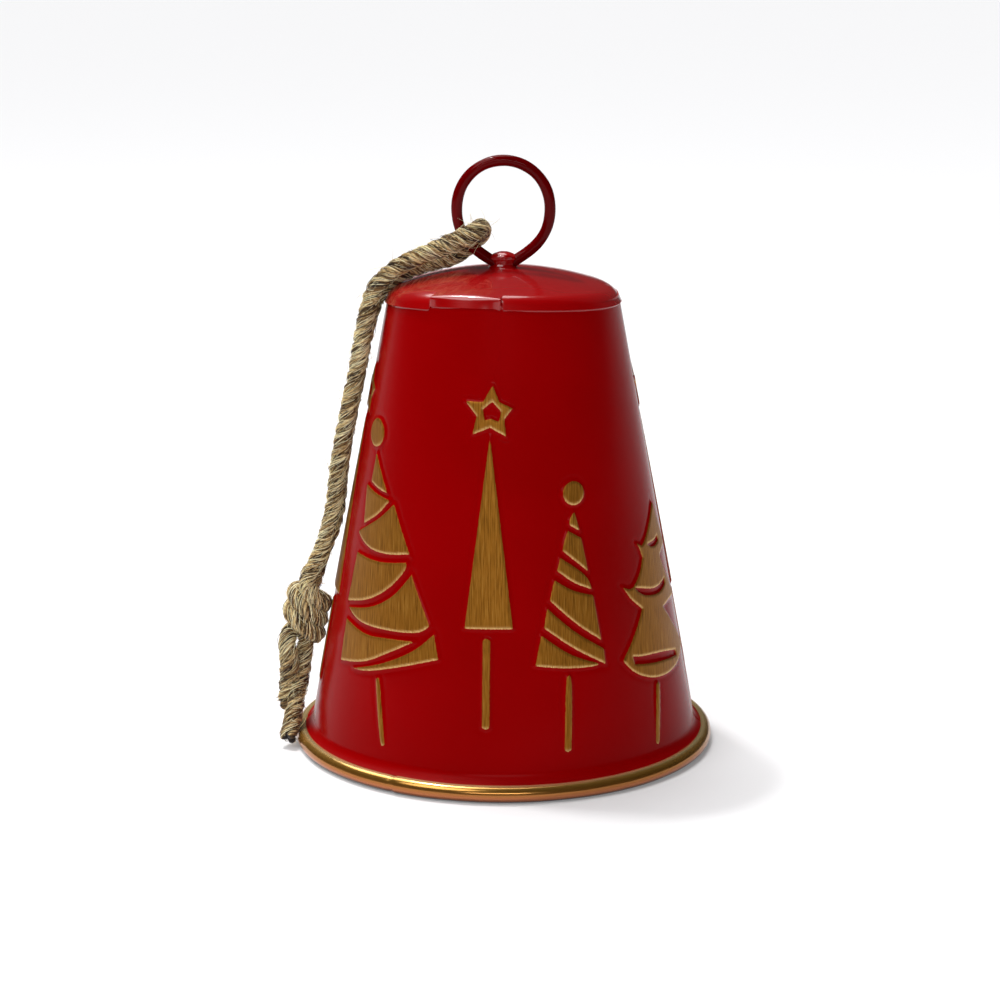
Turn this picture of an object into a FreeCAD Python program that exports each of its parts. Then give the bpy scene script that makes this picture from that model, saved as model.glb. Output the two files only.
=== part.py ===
import FreeCAD, Part
import math
import os

# Christmas bell ornament of painted sheet metal: two rolled half shells, a rolled hem, a folded cap,
# a wire hanging ring with a doubled jute rope, and a clapper hung inside on wire loops.
# Millimetres. Origin: centre of the rim's underside. +Z is up, and the front faces -Y.

V = FreeCAD.Vector

# ---- driving dimensions ----
SHEET = 0.6              # gauge of the shell, hem and cap
RIM_OUTER_R = 77.5       # outside of the rolled hem
HEM_R = 3.0              # outside radius of the hem's round section
HEM_SINK = 0.1           # how far the hem is worn flat underneath
CONE_BASE_R = 72.6       # outside radius of the cone, carried down to z = 0
CONE_SLOPE = 0.1857      # radius lost per millimetre of height
FLARE_TOP = 9.5          # where the cone starts to flare out to the hem
SHELL_TOP = 167.4
SEAM_TURN = -2.0         # the side seams stand this many degrees off the X axis
LAP_TURN = 4.5           # half width of the lap behind each seam, in degrees
LAP_ABOVE_FLARE = 2.0    # the lap starts this far above the flare
LAP_BELOW_TOP = 4.0      # and ends this far below the shell's top

CAP_APEX = 176.5
CAP_FOLD_R = 41.7        # where the dome turns down into the skirt
CAP_FOLD_Z = 168.9
CAP_SKIRT_Z = 164.8
CAP_FOLD_STEP = 1.4      # the dome's inside turns down this much nearer the axis than its outside
NOTCH_WIDTH = 0.8
NOTCH_REACH = 6.0        # length and height of the block that cuts a notch
NOTCH_INNER_STEP = 2.0   # a notch starts this far inside the shell's top radius
NOTCH_TURNS = (-75.0, -38.0, -1.0, 73.0)   # from the front, repeated on the back

RING_R = 16.5            # centreline of the hanging ring
RING_WIRE_R = 2.0
RING_CENTRE_Z = 198.3
RING_LEG_SLOPE = 39.0    # its legs run down to the boss at this angle
RING_FOOT_X = 1.9
BOSS_TOP = 182.1
BOSS_R = 3.9
BOSS_SINK = 1.0          # how far the boss reaches down into the hole in the cap

PIN_R = 1.3              # eye pin's wire
PIN_TOP = 178.0
WASHER_R = 7.0
WASHER_THICK = 1.0
WASHER_CROWN = 0.2       # extra thickness at its middle, where it follows the dome
EYE_R = 4.3              # centreline of the eye
EYE_CENTRE_Z = 167.4
LINK_R = 5.0             # centreline of the loose link
LINK_WIRE_R = 1.1
LOOP_R = 4.0             # centreline of the loop on top of the clapper rod
ROD_R = 1.3
RUNNING_GAP = 0.25       # between loops that hang in each other
BALL_R = 12.0
BALL_CENTRE_Z = 38.0
ROD_END_R = 2.6          # peened end below the ball
ROD_END_THICK = 1.4
ROD_END_SINK = 0.4       # how far the peened end reaches up into the ball

ROPE_D = 5.6
BEND_REACH = 0.45        # share of a straight run that the bend at each of its ends may use
KNOT_TOP = V(-70.0, 0, 59.7)
KNOT_AXIS = V(-0.25, 0, -0.968)
KNOT_LENGTH = 24.0
KNOT_R = 8.6
KNOT_END_R = 6.4

CUTTER = 400.0           # side of the blocks that cut away everything on one side of a plane

# Hand-chosen routes of the rope's centreline. The loop runs from the knot up the front leg, round the
# ring's wire and down the rear leg. The tails run from the knot to their cut ends.
LOOP_ROUTE = (
    (-70.0, -2.9, 59.7), (-67.9, -2.9, 67.9), (-64.2, -3.1, 79.0), (-61.7, -3.2, 91.0),
    (-60.5, -3.0, 102.6), (-58.4, -3.2, 114.2), (-56.0, -3.3, 126.0), (-53.3, -3.1, 137.4),
    (-51.3, -3.4, 149.2), (-49.1, -3.8, 160.6), (-45.7, -4.2, 171.2), (-37.0, -4.2, 178.0),
    (-27.4, -4.4, 182.2), (-18.2, -4.9, 186.0), (-8.0, -5.6, 190.3),
    (-8.0, 5.6, 190.3), (-17.8, 4.9, 184.0), (-27.4, 4.0, 180.6), (-37.5, 3.6, 177.7),
    (-45.9, 3.4, 170.8), (-49.0, 3.3, 160.0), (-51.1, 3.2, 148.4), (-53.1, 3.2, 136.8),
    (-55.6, 3.1, 125.4), (-58.0, 3.2, 113.8), (-59.9, 3.1, 102.2), (-60.6, 3.0, 90.6),
    (-63.0, 3.0, 79.0), (-67.9, 2.9, 67.9), (-70.0, 2.9, 59.7),
)
OUTER_TAIL_ROUTE = (
    (-78.6, -2.0, 37.1), (-80.4, -2.0, 30.2), (-81.9, -1.7, 21.0), (-82.6, -1.4, 11.6),
)
INNER_TAIL_ROUTE = (
    (-73.4, 2.0, 35.8), (-75.1, 2.0, 29.2), (-75.4, 0.2, 22.8), (-76.4, -4.2, 16.6),
    (-77.9, -10.0, 9.6), (-79.3, -16.0, 2.5),
)


def save(shape, name):
    shape.exportStep(f"parts/{name}.step")
    box = shape.BoundBox
    print(f"{name}: valid {shape.isValid()}, solids {len(shape.Solids)}, volume {shape.Volume:.1f}, "
          f"z {box.ZMin:.2f} to {box.ZMax:.2f}")


def cone_r(z):
    return CONE_BASE_R - CONE_SLOPE * z


def spun(edges, start=0.0, turn=360.0):
    """A solid from a closed outline in the XZ plane, turned about Z from the angle start."""
    face = Part.Face(Part.Wire(edges))
    face.rotate(V(0, 0, 0), V(0, 0, 1), start)
    return face.revolve(V(0, 0, 0), V(0, 0, 1), turn)


def line(a, b):
    return Part.LineSegment(V(a[0], 0, a[1]), V(b[0], 0, b[1])).toShape()


def arc(a, via, b):
    return Part.Arc(V(a[0], 0, a[1]), V(via[0], 0, via[1]), V(b[0], 0, b[1])).toShape()


def outline(points):
    return [line(a, b) for a, b in zip(points, points[1:] + points[:1])]


def on_circle(centre, radius, degrees):
    turn = math.radians(degrees)
    return (centre[0] + radius * math.cos(turn), centre[1] + radius * math.sin(turn))


def angle_from(centre, point):
    return math.degrees(math.atan2(point[1] - centre[1], point[0] - centre[0]))


def circle_arc(centre, radius, start, end):
    """An arc from start to end degrees about centre."""
    return arc(on_circle(centre, radius, start), on_circle(centre, radius, (start + end) / 2),
               on_circle(centre, radius, end))


def dome_centre():
    """Centre height and radius of the sphere that the cap's outside is a part of."""
    rise = CAP_APEX - CAP_FOLD_Z
    radius = (CAP_FOLD_R ** 2 + rise ** 2) / (2 * rise)
    return CAP_APEX - radius, radius


HEM_CENTRE = (RIM_OUTER_R - HEM_R, HEM_R - HEM_SINK)
HEM_START = 105.0        # where the flare's outside meets the hem's round section, in degrees


def flare():
    """Centre and radius of the concave flare, tangent to the cone and ending on the hem."""
    length = math.hypot(1, CONE_SLOPE)
    normal = (1 / length, CONE_SLOPE / length)
    top = (cone_r(FLARE_TOP), FLARE_TOP)
    end = on_circle(HEM_CENTRE, HEM_R, HEM_START)
    across = (end[0] - top[0], end[1] - top[1])
    radius = (across[0] ** 2 + across[1] ** 2) / (2 * (across[0] * normal[0] + across[1] * normal[1]))
    centre = (top[0] + radius * normal[0], top[1] + radius * normal[1])
    return centre, radius, top, end


def meeting_angle(centre, radius):
    """The angle on the hem's section where a circle about centre crosses it, next to HEM_START."""
    low, high = HEM_START, HEM_START + 60.0
    for _ in range(60):
        middle = (low + high) / 2
        point = on_circle(HEM_CENTRE, HEM_R, middle)
        if math.hypot(point[0] - centre[0], point[1] - centre[1]) < radius:
            low = middle
        else:
            high = middle
    return low


def shell_outline():
    centre, radius, top, end = flare()
    outer_top = (cone_r(SHELL_TOP), SHELL_TOP)
    inner_r = radius + SHEET
    inner_meets = meeting_angle(centre, inner_r)
    inner_end = on_circle(HEM_CENTRE, HEM_R, inner_meets)
    start = angle_from(centre, top) % 360
    inner_start = on_circle(centre, inner_r, start)
    inner_top = (inner_start[0] - CONE_SLOPE * (SHELL_TOP - inner_start[1]), SHELL_TOP)
    return [
        line(outer_top, top),
        circle_arc(centre, radius, start, angle_from(centre, end) % 360),
        circle_arc(HEM_CENTRE, HEM_R, HEM_START, inner_meets),
        circle_arc(centre, inner_r, angle_from(centre, inner_end) % 360, start),
        line(inner_start, inner_top),
        line(inner_top, outer_top),
    ]


def lap_strip(side):
    """The strip behind one side seam, against the inside of both shells."""
    step = math.hypot(1, CONE_SLOPE) * SHEET
    low = FLARE_TOP + LAP_ABOVE_FLARE
    high = SHELL_TOP - LAP_BELOW_TOP
    points = [(cone_r(low) - step, low), (cone_r(high) - step, high),
              (cone_r(high) - 2 * step, high), (cone_r(low) - 2 * step, low)]
    return spun(outline(points), side + SEAM_TURN - LAP_TURN, 2 * LAP_TURN)


def make_shells():
    front = spun(shell_outline(), 180.0 + SEAM_TURN, 180.0)
    rear = spun(shell_outline(), SEAM_TURN, 180.0)
    rear = rear.fuse([lap_strip(0.0), lap_strip(180.0)]).removeSplitter()
    save(front, "front_shell")
    save(rear, "rear_shell")


def block_below(z):
    return Part.makeBox(CUTTER, CUTTER, CUTTER, V(-CUTTER / 2, -CUTTER / 2, z - CUTTER))


def make_rim():
    """The hem is rolled right round a stiffening wire."""
    major, height = HEM_CENTRE
    tube = Part.makeTorus(major, HEM_R, V(0, 0, height))
    core = Part.makeTorus(major, HEM_R - SHEET, V(0, 0, height))
    save(tube.cut([core, block_below(0.0)]), "rim_hem")
    save(core, "rim_wire")


def make_cap():
    sphere_z, sphere_r = dome_centre()
    inner_r = sphere_r - SHEET
    step = math.hypot(1, CONE_SLOPE) * SHEET
    skirt_out = (cone_r(CAP_SKIRT_Z) + step, CAP_SKIRT_Z)
    skirt_in = (cone_r(CAP_SKIRT_Z), CAP_SKIRT_Z)
    skirt_in_top = (cone_r(SHELL_TOP), SHELL_TOP)
    under_r = CAP_FOLD_R - CAP_FOLD_STEP
    under_z = sphere_z + math.sqrt(inner_r ** 2 - under_r ** 2)
    middle_r = CAP_FOLD_R / 2
    hole_top = (PIN_R, sphere_z + math.sqrt(sphere_r ** 2 - PIN_R ** 2))
    hole_low = (PIN_R, sphere_z + math.sqrt(inner_r ** 2 - PIN_R ** 2))
    fold = (CAP_FOLD_R, CAP_FOLD_Z)
    edges = [
        arc(hole_top, (middle_r, sphere_z + math.sqrt(sphere_r ** 2 - middle_r ** 2)), fold),
        line(fold, skirt_out),
        line(skirt_out, skirt_in),
        line(skirt_in, skirt_in_top),
        line(skirt_in_top, (under_r, under_z)),
        arc((under_r, under_z), (middle_r, sphere_z + math.sqrt(inner_r ** 2 - middle_r ** 2)), hole_low),
        line(hole_low, hole_top),
    ]
    cap = spun(edges)
    for side in (0.0, 180.0):
        for turn in NOTCH_TURNS:
            corner = V(cone_r(SHELL_TOP) - NOTCH_INNER_STEP, -NOTCH_WIDTH / 2, SHELL_TOP - NOTCH_REACH)
            notch = Part.makeBox(NOTCH_REACH, NOTCH_WIDTH, NOTCH_REACH, corner)
            notch.rotate(V(0, 0, 0), V(0, 0, 1), side + turn - 90.0)
            cap = cap.cut(notch)
    save(cap, "cap")
    return cap


def swept_wire(edges, radius):
    """A round wire along tangent edges."""
    path = Part.Wire(edges)
    first = path.OrderedEdges[0]
    start = first.valueAt(first.FirstParameter)
    along = first.tangentAt(first.FirstParameter)
    section = Part.Wire(Part.makeCircle(radius, start, along))
    return path.makePipeShell([section], True, False)


def make_ring():
    slope = math.radians(RING_LEG_SLOPE)
    centre = (0.0, RING_CENTRE_Z)
    right = on_circle(centre, RING_R, RING_LEG_SLOPE - 90.0)
    left = (-right[0], right[1])
    foot_z = right[1] - (right[0] - RING_FOOT_X) * math.tan(slope)
    edges = [
        line((RING_FOOT_X, foot_z), right),
        arc(right, (0.0, RING_CENTRE_Z + RING_R), left),
        line(left, (-RING_FOOT_X, foot_z)),
    ]
    ring = swept_wire(edges, RING_WIRE_R)
    save(ring, "hanging_ring")
    return ring


def make_boss(ring, cap, pin):
    """The lump that holds the ring's two feet and the eye pin's top. It sits on the cap."""
    ball = Part.makeSphere(BOSS_R, V(0, 0, BOSS_TOP - BOSS_R))
    boss = ball.cut([block_below(CAP_APEX - BOSS_SINK), cap, ring, pin])
    save(boss.Solids[0], "ring_boss")


def make_washer():
    sphere_z, sphere_r = dome_centre()
    inner_r = sphere_r - SHEET
    middle_r = (PIN_R + WASHER_R) / 2
    low = sphere_z + inner_r - WASHER_THICK - WASHER_CROWN
    top_in = (PIN_R, sphere_z + math.sqrt(inner_r ** 2 - PIN_R ** 2))
    top_out = (WASHER_R, sphere_z + math.sqrt(inner_r ** 2 - WASHER_R ** 2))
    edges = [
        arc(top_in, (middle_r, sphere_z + math.sqrt(inner_r ** 2 - middle_r ** 2)), top_out),
        line(top_out, (WASHER_R, low)),
        line((WASHER_R, low), (PIN_R, low)),
        line((PIN_R, low), top_in),
    ]
    save(spun(edges), "cap_washer")


def loop_xz(major, wire_r, z):
    """A wire loop in the XZ plane."""
    return Part.makeTorus(major, wire_r, V(0, 0, z), V(0, 1, 0))


def make_pin():
    eye = loop_xz(EYE_R, PIN_R, EYE_CENTRE_Z)
    shank = Part.makeCylinder(PIN_R, PIN_TOP - EYE_CENTRE_Z - EYE_R, V(0, 0, EYE_CENTRE_Z + EYE_R))
    pin = eye.fuse(shank).removeSplitter()
    save(pin, "eye_pin")
    return pin


def link_pivot_z():
    return EYE_CENTRE_Z - EYE_R


def link_centre_z():
    return link_pivot_z() + PIN_R + LINK_WIRE_R + RUNNING_GAP - LINK_R


def rod_pivot_z():
    return link_centre_z() - LINK_R


def make_clapper():
    """A loose link in the YZ plane, and below it the rod with its ball."""
    save(Part.makeTorus(LINK_R, LINK_WIRE_R, V(0, 0, link_centre_z()), V(1, 0, 0)), "clapper_link")
    loop_z = rod_pivot_z() + LINK_WIRE_R + ROD_R + RUNNING_GAP - LOOP_R
    rod_low = BALL_CENTRE_Z - BALL_R - ROD_END_THICK
    rod = Part.makeCylinder(ROD_R, loop_z - LOOP_R - rod_low, V(0, 0, rod_low))
    peened = Part.makeCylinder(ROD_END_R, ROD_END_THICK + ROD_END_SINK, V(0, 0, rod_low))
    ball = Part.makeSphere(BALL_R, V(0, 0, BALL_CENTRE_Z))
    whole_rod = loop_xz(LOOP_R, ROD_R, loop_z).fuse([rod, peened]).removeSplitter()
    save(whole_rod, "clapper_rod")
    save(ball.cut(whole_rod), "clapper_ball")


def rounded_path(points, name):
    """Straight runs joined by tangent arcs, each as large as its two runs allow."""
    points = [V(*p) for p in points]
    edges = []
    radii = []
    here = points[0]
    for before, corner, after in zip(points, points[1:], points[2:]):
        arrive = (corner - before).normalize()
        leave = (after - corner).normalize()
        turn = arrive.getAngle(leave)
        reach = BEND_REACH * min((corner - before).Length, (after - corner).Length)
        radius = reach / math.tan(turn / 2)
        radii.append(radius)
        start = corner - arrive * reach
        end = corner + leave * reach
        inward = (leave - arrive).normalize()
        middle = corner + inward * (radius / math.cos(turn / 2) - radius)
        edges.append(Part.LineSegment(here, start).toShape())
        edges.append(Part.Arc(start, middle, end).toShape())
        here = end
    edges.append(Part.LineSegment(here, points[-1]).toShape())
    print(name, "radii", " ".join(f"{r:.0f}" for r in radii))
    return edges


def make_rope(route, name):
    edges = rounded_path(route, name)
    rope = swept_wire(edges, ROPE_D / 2)
    length = sum(edge.Length for edge in edges)
    expected = math.pi * (ROPE_D / 2) ** 2 * length
    print(f"{name}: length {length:.1f}, volume {rope.Volume:.0f} of {expected:.0f}")
    save(rope, name)


def make_knot():
    """The knot's outer shape: a barrel on the legs' line, flat where the rope goes in and out."""
    edges = [
        line((0.0, 0.0), (KNOT_END_R, 0.0)),
        arc((KNOT_END_R, 0.0), (KNOT_R, KNOT_LENGTH / 2), (KNOT_END_R, KNOT_LENGTH)),
        line((KNOT_END_R, KNOT_LENGTH), (0.0, KNOT_LENGTH)),
        line((0.0, KNOT_LENGTH), (0.0, 0.0)),
    ]
    knot = spun(edges)
    knot.Placement = FreeCAD.Placement(KNOT_TOP, FreeCAD.Rotation(V(0, 0, 1), KNOT_AXIS))
    save(knot, "rope_knot")


os.makedirs("parts", exist_ok=True)
make_shells()
make_rim()
cap_solid = make_cap()
pin_solid = make_pin()
ring_solid = make_ring()
make_boss(ring_solid, cap_solid, pin_solid)
make_washer()
make_clapper()
make_rope(LOOP_ROUTE, "rope_loop")
make_rope(OUTER_TAIL_ROUTE, "rope_tail_outer")
make_rope(INNER_TAIL_ROUTE, "rope_tail_inner")
make_knot()
print(f"link pivot z {link_pivot_z():.2f}, rod pivot z {rod_pivot_z():.2f}")
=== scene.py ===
import bpy
import math
import numpy as np
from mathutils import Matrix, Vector, noise


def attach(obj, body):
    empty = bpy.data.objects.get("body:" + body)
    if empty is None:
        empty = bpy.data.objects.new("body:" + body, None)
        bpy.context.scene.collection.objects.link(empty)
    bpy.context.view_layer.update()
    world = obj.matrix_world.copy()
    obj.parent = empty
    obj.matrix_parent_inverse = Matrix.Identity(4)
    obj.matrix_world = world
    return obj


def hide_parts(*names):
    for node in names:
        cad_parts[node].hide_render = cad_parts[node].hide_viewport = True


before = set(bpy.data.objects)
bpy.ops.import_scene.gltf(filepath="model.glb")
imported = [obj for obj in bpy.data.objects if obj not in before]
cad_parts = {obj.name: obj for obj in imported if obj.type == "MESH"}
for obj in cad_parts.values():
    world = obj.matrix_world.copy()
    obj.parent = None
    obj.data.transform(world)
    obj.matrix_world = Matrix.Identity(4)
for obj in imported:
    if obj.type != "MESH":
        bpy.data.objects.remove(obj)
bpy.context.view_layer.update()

MM = 0.001

# ---- camera ----
CAMERA_BACK = 1.0
CAMERA_HEIGHT = 0.3391
CAMERA_PITCH = 0.244
CAMERA_LENS = 101.05
CAMERA_SHIFT = -0.0034
SENSOR_WIDTH = 36.0
NEAREST_SEEN = 0.05
FARTHEST_SEEN = 50.0

# ---- jute rope, on the CAD source's route apart from shifts of a few millimetres ----
ROPE_TURN_ROUND_RING = (-0.0080, 0.0, 0.1903)
FRONT_LEG = (
    (-0.0080, -0.0056, 0.1903), (-0.0182, -0.0049, 0.1860), (-0.0274, -0.0044, 0.1822),
    (-0.0370, -0.0042, 0.1780), (-0.0457, -0.0042, 0.1712), (-0.0491, -0.0038, 0.1606),
    (-0.0513, -0.0034, 0.1492), (-0.0533, -0.0031, 0.1374), (-0.0560, -0.0033, 0.1260),
    (-0.0584, -0.0032, 0.1142), (-0.0605, -0.0030, 0.1026), (-0.0617, -0.0032, 0.0910),
    (-0.0642, -0.0031, 0.0790), (-0.0683, -0.0031, 0.0682), (-0.0728, -0.0046, 0.0606),
)
REAR_LEG = (
    (-0.0078, 0.0056, 0.1880), (-0.0162, 0.0050, 0.1796), (-0.0266, 0.0036, 0.1772),
    (-0.0366, 0.0026, 0.1744), (-0.0440, 0.0026, 0.1694), (-0.0480, 0.0030, 0.1600),
    (-0.0511, 0.0032, 0.1484), (-0.0531, 0.0032, 0.1368), (-0.0556, 0.0031, 0.1254),
    (-0.0580, 0.0032, 0.1138), (-0.0599, 0.0031, 0.1022), (-0.0606, 0.0030, 0.0906),
    (-0.0630, 0.0030, 0.0790), (-0.0679, 0.0029, 0.0679), (-0.0700, 0.0029, 0.0597),
)
OUTER_TAIL = (
    (-0.0796, 0.0042, 0.0392), (-0.0806, -0.0006, 0.0354), (-0.0794, -0.0022, 0.0296),
    (-0.0798, -0.0017, 0.0210), (-0.0802, -0.0014, 0.0116),
)
INNER_TAIL = (
    (-0.0736, 0.0032, 0.0378), (-0.0739, 0.0036, 0.0330), (-0.0750, 0.0014, 0.0252),
    (-0.0766, -0.0042, 0.0170), (-0.0779, -0.0100, 0.0096), (-0.0793, -0.0160, 0.0033),
)
KNOT_TOP = Vector((-0.0700, 0.0, 0.0597))
KNOT_AXIS = Vector((-0.25, 0.0, -0.968)).normalized()
WRAP_R = 0.0056          # from the knot's axis to the wrapped rope's centreline
WRAP_TURNS = 2.5
WRAP_TILT = 0.0024       # the wraps lie this much lower on their right than on their left
WRAP_STEPS = 10          # control points per turn
WRAP_UNEVEN = 0.05       # how much the wraps' radius varies, and how often per turn
WRAP_BEATS = 2.3
WRAP_START = 0.0040      # the wraps start and end this far along the knot's axis
WRAP_END = 0.0190
CORE_DEPTHS = (0.007, 0.012, 0.017)
# How much fuller than elsewhere the rope is: distances along it, then the fullness at each
FRONT_SWELL = (
    (0.0, 0.010, 0.024, 0.158, 0.168, 0.248, 0.258, 0.275, 0.289, 0.295),
    (1.28, 1.28, 1.04, 1.0, 1.16, 1.16, 1.02, 1.22, 1.24, 1.12),
)
REAR_SWELL = (
    (0.0, 0.004, 0.014, 0.190, 0.200, 0.214, 0.230),
    (1.28, 1.25, 1.0, 1.0, 1.08, 1.10, 0.95),
)
LINE_RESOLUTION = 24


def make_camera():
    data = bpy.data.cameras.new("camera")
    camera = bpy.data.objects.new("camera", data)
    bpy.context.scene.collection.objects.link(camera)
    camera.location = (0.0, -CAMERA_BACK, CAMERA_HEIGHT)
    camera.rotation_euler = (math.pi / 2 - CAMERA_PITCH, 0.0, 0.0)
    data.lens = CAMERA_LENS
    data.sensor_width = SENSOR_WIDTH
    data.shift_x = CAMERA_SHIFT
    data.clip_start = NEAREST_SEEN
    data.clip_end = FARTHEST_SEEN
    bpy.context.scene.camera = camera


def spline_line(points, name):
    """The points of the smooth line that has these control points."""
    curve = bpy.data.curves.new(name, "CURVE")
    curve.dimensions = "3D"
    spline = curve.splines.new("NURBS")
    spline.points.add(len(points) - 1)
    for place, point in zip(spline.points, points):
        place.co = (*point, 1.0)
    spline.order_u = 3
    spline.use_endpoint_u = True
    spline.resolution_u = LINE_RESOLUTION
    obj = bpy.data.objects.new(name, curve)
    line = bpy.data.meshes.new_from_object(obj)
    co = np.zeros(len(line.vertices) * 3)
    line.vertices.foreach_get("co", co)
    bpy.data.objects.remove(obj)
    bpy.data.curves.remove(curve)
    bpy.data.meshes.remove(line)
    return co.reshape(-1, 3)


def along(line, step):
    """The line again, with its points an even step apart."""
    gaps = np.linalg.norm(np.diff(line, axis=0), axis=1)
    travel = np.concatenate([[0.0], np.cumsum(gaps)])
    count = max(2, int(round(travel[-1] / step)) + 1)
    at = np.linspace(0.0, travel[-1], count)
    return np.stack([np.interp(at, travel, line[:, k]) for k in range(3)], axis=1), at


def wrap_points():
    """The turns that the front leg takes round the rear leg to tie the knot."""
    side = Vector((0.0, -1.0, 0.0))
    across = side.cross(KNOT_AXIS).normalized()
    count = int(WRAP_TURNS * WRAP_STEPS)
    points = []
    for i in range(count + 1):
        share = i / count
        turn = 2 * math.pi * WRAP_TURNS * share
        depth = WRAP_START + (WRAP_END - WRAP_START) * share
        swell = WRAP_R * (1.0 + WRAP_UNEVEN * math.sin(WRAP_BEATS * turn))
        out = (side * math.cos(turn) + across * math.sin(turn)) * swell
        tilt = WRAP_TILT * math.sin(turn)
        points.append(tuple(KNOT_TOP + KNOT_AXIS * (depth + tilt) + out))
    return tuple(points)


def core_points():
    """The rear leg runs down the middle of the wraps."""
    return tuple(tuple(KNOT_TOP + KNOT_AXIS * depth) for depth in CORE_DEPTHS)


# ---- shell, the CAD's own driving dimensions in metres ----
CONE_BASE_R = 0.0726
CONE_SLOPE = 0.1857
FLARE_TOP = 0.0095
SHELL_TOP = 0.1674
SHEET = 0.0006
HEM_R = 0.0030
HEM_CENTRE = (0.0745, 0.0029)
HEM_START = math.radians(105.0)
SEAM_TURN = math.radians(-2.0)
PATTERN_TOP = 0.146
FRONT_LIFT = 0.0014      # how much higher the shell and the cap's edge are at the front
FRONT_TURN = math.radians(10.0)

COLUMNS = 300            # across one half shell
PLAIN_ROWS = 12
PATTERN_ROWS = 228
FLARE_ROWS = 14

RELIEF = 0.00065         # how far the trees are pressed out
SHARP_TURN = math.radians(48.0)
BEVEL = 0.55             # half width of the relief's slope, in millimetres
TROUGH = 0.00010         # the sheet is drawn in this much round each tree
TROUGH_AT = 1.3          # millimetres outside the tree's edge
TROUGH_WIDTH = 0.6
SEAM_DEPTH = 0.00045
SEAM_WIDTH = 0.0006
CREASE_DEPTH = 0.00022   # the crease under the cap's narrow lobe
CREASE_TURN = -0.02
CREASE_WIDTH = 0.07
CREASE_FOOT = 0.128
CREASE_RISE = 0.035
EASING_ROUNDS = 3
FAR_OUTSIDE = 9.0        # millimetres, past any effect of a tree's edge
FAR_INSIDE_SHEET = 6.0   # the same, given to the inner face so that it stays red

# ---- embossed trees: trunk's turn from the front in degrees, then outlines in millimetres,
# across from the trunk and up from the rim's underside ----
BALL_TREE = (-40.2, (
    ((-18.3, 114.1), (-19.6, 103.5), (-14.0, 101.7), (-8.6, 101.2)),
    ((-22.7, 102.0), (-14.5, 99.9), (-6.8, 99.1), (-12.2, 93.0), (-21.4, 88.1)),
    ((-4.6, 98.3), (-11.5, 91.8), (-25.1, 84.6), (-20.5, 81.9), (-13.5, 80.1), (-3.5, 80.4), (5.2, 82.1),
     (6.2, 81.0)),
    ((-23.8, 77.5), (-9.0, 76.8), (4.6, 79.2), (4.6, 76.2), (-2.5, 68.2), (-13.0, 62.4), (-26.6, 59.3)),
    ((7.2, 75.4), (0.5, 66.5), (-10.5, 60.4), (-25.2, 57.4), (-20.0, 55.0), (-12.2, 53.8), (13.1, 55.0),
     (16.9, 58.5)),
    ((-25.9, 53.3), (-26.4, 37.9), (-10.5, 40.8), (0.6, 46.4), (12.1, 52.5), (0.0, 51.8), (-11.6, 50.5)),
    ((-18.2, 37.3), (-10.3, 37.7), (3.5, 41.6), (21.7, 47.3), (18.9, 56.1), (12.5, 49.6), (1.1, 43.5),
     (-9.0, 39.9)),
    ((-2.6, 37.6), (-1.2, 36.4), (3.9, 14.6), (2.9, 13.8), (1.6, 14.6), (-3.6, 36.6)),
))
STAR_TREE = (-5.3, (
    ((-0.1, 125.8), (-8.0, 58.8), (9.1, 59.0)),
    ((-1.5, 55.2), (-0.1, 56.0), (1.3, 55.2), (1.5, 24.9), (0.1, 24.1), (-1.3, 24.9)),
))
LEANING_TREE = (19.7, (
    ((6.8, 98.3), (4.5, 95.4), (4.6, 93.5), (8.7, 91.0)),
    ((3.8, 91.9), (9.0, 88.8), (11.0, 76.6), (1.5, 84.8), (1.5, 86.7)),
    ((0.4, 82.9), (10.7, 75.5), (12.1, 70.3), (4.9, 73.4), (-1.2, 78.3)),
    ((-2.3, 75.4), (4.4, 70.9), (12.4, 68.5), (14.7, 52.3), (4.6, 59.3), (-4.5, 68.4)),
    ((-5.5, 65.9), (3.6, 57.0), (15.5, 49.5), (15.9, 43.8), (3.5, 50.7), (-7.1, 58.9)),
    ((-8.2, 56.7), (2.0, 48.8), (13.5, 44.5), (11.9, 43.7), (1.0, 44.2), (-11.0, 46.0)),
    ((1.0, 42.3), (2.2, 41.0), (0.5, 16.0), (-0.9, 15.3), (-2.2, 16.2), (-0.4, 41.2)),
))
TIERED_TREE = (53.6, (
    ((2.7, 32.4), (4.0, 31.3), (-0.7, 11.4), (-2.0, 10.5), (-3.3, 11.5), (1.3, 31.4)),
))
TIERS = (
    (20.2, 93.6), (14.0, 87.6), (8.6, 82.6), (5.2, 80.8), (2.0, 82.3), (3.4, 79.8), (4.4, 76.4), (1.6, 72.2),
    (-2.9, 68.0), (-6.0, 67.4), (-9.3, 69.0), (-6.6, 64.2), (-0.4, 59.3), (-7.0, 51.0), (-14.4, 43.6),
    (-11.4, 39.6), (-5.8, 36.1), (2.1, 33.6), (12.0, 33.0), (23.0, 34.2), (34.0, 38.4), (25.0, 46.6),
    (15.2, 56.3), (23.0, 57.2), (31.8, 56.6), (27.4, 62.4), (22.6, 68.0), (19.6, 74.0), (24.0, 75.6),
    (29.0, 76.1), (25.0, 83.0),
)
TIER_SLOTS = (
    ((9.7, 80.2), (12.4, 78.7), (16.4, 78.3), (20.2, 79.4), (19.6, 81.2), (16.2, 80.2), (12.6, 80.4)),
    ((-2.8, 67.2), (1.0, 64.0), (8.0, 62.2), (15.0, 62.0), (20.4, 63.4), (20.6, 65.4), (15.0, 64.2),
     (8.0, 64.4), (2.4, 66.0)),
    ((-9.2, 44.0), (-6.0, 43.2), (2.0, 42.4), (10.0, 41.4), (21.2, 38.9), (21.4, 37.0), (10.0, 38.4),
     (0.0, 39.6), (-8.6, 41.2)),
)
SEAM_TREE = (-83.0, STAR_TREE[1])
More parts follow.
